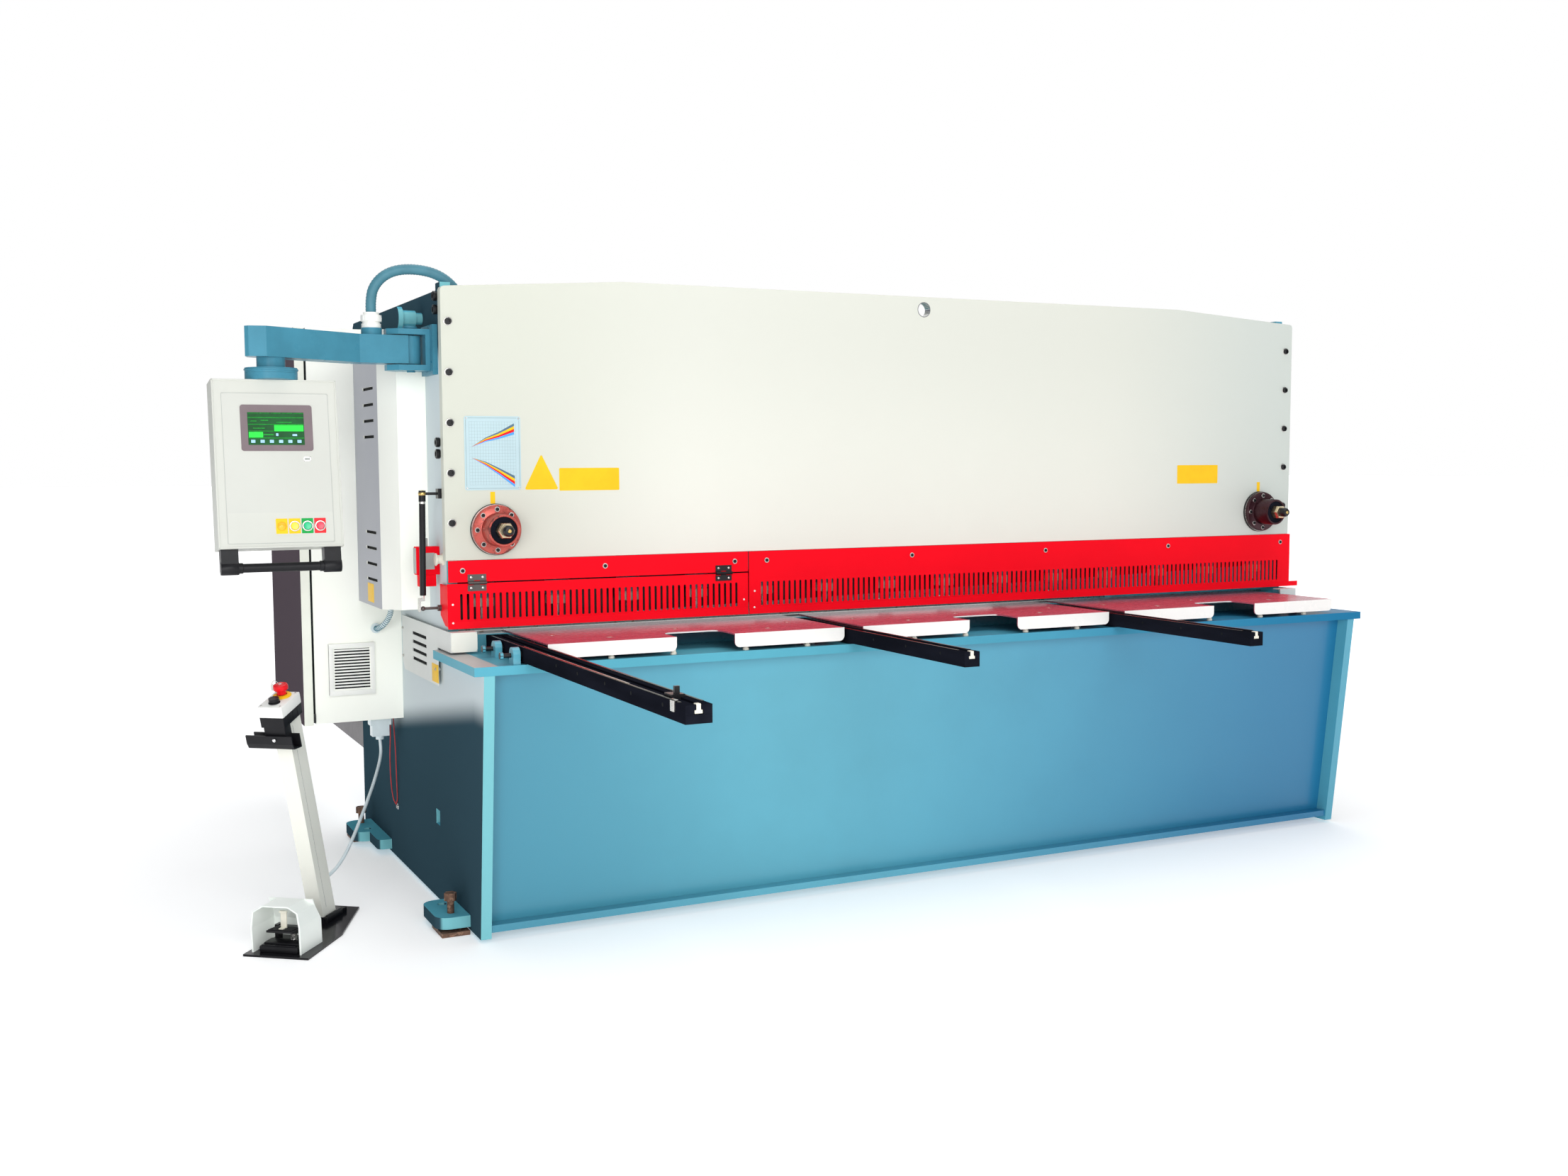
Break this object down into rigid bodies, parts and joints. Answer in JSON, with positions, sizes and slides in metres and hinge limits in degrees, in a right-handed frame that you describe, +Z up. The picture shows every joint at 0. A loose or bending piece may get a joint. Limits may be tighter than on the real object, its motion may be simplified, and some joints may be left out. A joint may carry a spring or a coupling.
{
  "type": "hydraulic guillotine shear",
  "caption": "Hydraulic guillotine shear with a slotted finger guard, table arms, a swinging control panel, a side cabinet and a foot pedal stand.",
  "frame": {"origin": "on the floor under the centre of the bounding box", "axes": "+X to the right along the blades as the operator stands, +Y from the operator to the back, +Z up"},
  "size_m": [3.8828, 3.362, 1.8857],
  "materials": {
    "blue_paint": "satin blue machine paint",
    "dark_blue_paint": "satin dark blue paint, scuffed low down",
    "cream_paint": "fine textured cream white paint",
    "grey_paint": "fine textured light grey paint",
    "brown_paint": "fine textured dark brown grey paint",
    "red_paint": "gloss red paint",
    "black_steel": "blackened steel with oil sheen",
    "bare_steel": "ground steel",
    "zinc_steel": "bright zinc plated steel",
    "red_anodised": "turned aluminium with red brown anodising",
    "rusty_steel": "raw steel with brown rust",
    "black_plastic": "black moulded plastic",
    "white_plastic": "white moulded plastic",
    "grey_plastic": "light grey moulded plastic",
    "yellow_plastic": "yellow push button",
    "green_plastic": "green push button",
    "red_plastic": "red push button",
    "blue_conduit": "corrugated blue grey conduit",
    "grey_cable": "grey cable sheath",
    "red_cable": "thin red insulated wire"
  },
  "bodies": {
    "machine": {"left_side_plate": "blue_paint", "right_side_plate": "blue_paint", "front_apron": "blue_paint", "table_bed": "blue_paint", "blade_holder": "blue_paint", "lower_blade": "bare_steel", "table_covers": "grey_paint", "squaring_arm": "black_steel", "support_arms": "black_steel", "arm_adjusters": "blue_paint", "front_panel": "cream_paint", "shaft_flanges": "red_anodised", "drive_cylinders": "dark_blue_paint", "hold_down_rail": "blue_paint", "fixed_guard": "red_paint", "flap_hinges": "zinc_steel", "strut_stud": "black_steel", "side_cover": "cream_paint", "end_covers": "grey_paint", "cabinet": "cream_paint", "cabinet_fittings": "grey_plastic", "arm_bracket": "blue_paint", "arm_conduit": "blue_conduit", "foot_base": "black_plastic", "foot_column": "cream_paint", "pedal_hood": "grey_paint", "stop_box": "white_plastic", "foot_handle": "black_plastic", "pedal_cable": "grey_cable", "earth_wires": "red_cable", "jack_bolts": "rusty_steel", "rear_beam": "blue_paint", "oil_tank": "blue_paint", "back_gauge": "bare_steel", "sheet_chute": "grey_paint", "rear_guards": "brown_paint"},
    "blade": {"blade_beam": "blue_paint", "upper_blade": "bare_steel"},
    "hold_downs": {"hold_down_feet": "bare_steel"},
    "flap": {"guard_flap": "red_paint", "flap_fittings": "zinc_steel"},
    "strut_tube": {"strut_cylinder": "black_plastic"},
    "strut_piston": {"strut_rod": "zinc_steel"},
    "slide_stop": {"arm_stop": "zinc_steel"},
    "electrics_door": {"cabinet_door": "brown_paint"},
    "swing_arm": {"panel_arm": "blue_paint", "conduit_gland": "white_plastic"},
    "control_panel": {"panel_coupling": "blue_paint", "control_box": "cream_paint", "box_handle": "black_plastic"},
    "panel_button_yellow": {"yellow_button": "yellow_plastic"},
    "panel_button_green": {"green_button": "green_plastic"},
    "panel_button_red": {"red_button": "red_plastic"},
    "pedal": {"foot_pedal": "black_plastic"},
    "emergency_stop": {"stop_button": "red_plastic"},
    "foot_start": {"start_button": "black_plastic"}
  },
  "joints": [
    {"name": "blade_stroke", "type": "slide", "parent": "machine", "child": "blade", "axis": [0, 0, -1], "range_m": [0, 0.1]},
    {"name": "hold_down_stroke", "type": "slide", "parent": "machine", "child": "hold_downs", "axis": [0, 0, -1], "range_m": [0, 0.018], "stiffness_N_per_m": 20000, "springref_m": -0.025},
    {"name": "flap_hinge", "type": "hinge", "parent": "machine", "child": "flap", "pos_m": [-0.84657, -0.2325, 0.977], "axis": [-1, 0, 0], "range_deg": [0, 60]},
    {"name": "strut_tilt", "type": "hinge", "parent": "machine", "child": "strut_tube", "pos_m": [-1.37157, -0.169, 1.232], "axis": [-1, 0, 0], "range_deg": [0, 18]},
    {"name": "strut_travel", "type": "slide", "parent": "strut_tube", "child": "strut_piston", "axis": [0, 0.0545, -0.9985], "range_m": [0, 0.045]},
    {"name": "stop_travel", "type": "slide", "parent": "machine", "child": "slide_stop", "axis": [0, 1, 0], "range_m": [0, 0.5]},
    {"name": "door_hinge", "type": "hinge", "parent": "machine", "child": "electrics_door", "pos_m": [-1.60457, 0.993, 1.1], "axis": [0, 0, -1], "range_deg": [0, 120]},
    {"name": "arm_swing", "type": "hinge", "parent": "machine", "child": "swing_arm", "pos_m": [-1.37157, -0.069, 1.643], "axis": [0, 0, 1], "range_deg": [-15, 60]},
    {"name": "panel_swivel", "type": "hinge", "parent": "swing_arm", "child": "control_panel", "pos_m": [-1.78143, -0.21733, 1.57], "axis": [0, 0, 1], "range_deg": [-45, 45]},
    {"name": "press_yellow", "type": "slide", "parent": "control_panel", "child": "panel_button_yellow", "axis": [0, 0.9912, -0.1323], "range_m": [0, 0.004], "stiffness_N_per_m": 600, "springref_m": -0.003},
    {"name": "press_green", "type": "slide", "parent": "control_panel", "child": "panel_button_green", "axis": [0, 0.9912, -0.1323], "range_m": [0, 0.004], "stiffness_N_per_m": 600, "springref_m": -0.003},
    {"name": "press_red", "type": "slide", "parent": "control_panel", "child": "panel_button_red", "axis": [0, 0.9912, -0.1323], "range_m": [0, 0.004], "stiffness_N_per_m": 600, "springref_m": -0.003},
    {"name": "pedal_press", "type": "hinge", "parent": "machine", "child": "pedal", "pos_m": [-1.77185, -0.25979, 0.048], "axis": [0.7934, -0.6088, 0], "range_deg": [0, 10], "stiffness_Nm_per_rad": 3, "springref_deg": -17.19},
    {"name": "press_stop", "type": "slide", "parent": "machine", "child": "emergency_stop", "axis": [0.1698, 0.2213, -0.9603], "range_m": [0, 0.006], "stiffness_N_per_m": 900, "springref_m": -0.004},
    {"name": "press_start", "type": "slide", "parent": "machine", "child": "foot_start", "axis": [0.1698, 0.2213, -0.9603], "range_m": [0, 0.005], "stiffness_N_per_m": 700, "springref_m": -0.003}
  ],
  "couplings": [
    {"joint": "strut_tilt", "follows": "flap_hinge", "ratio": 0.2784},
    {"joint": "strut_travel", "follows": "flap_hinge", "m_per_rad": 0.04109}
  ]
}
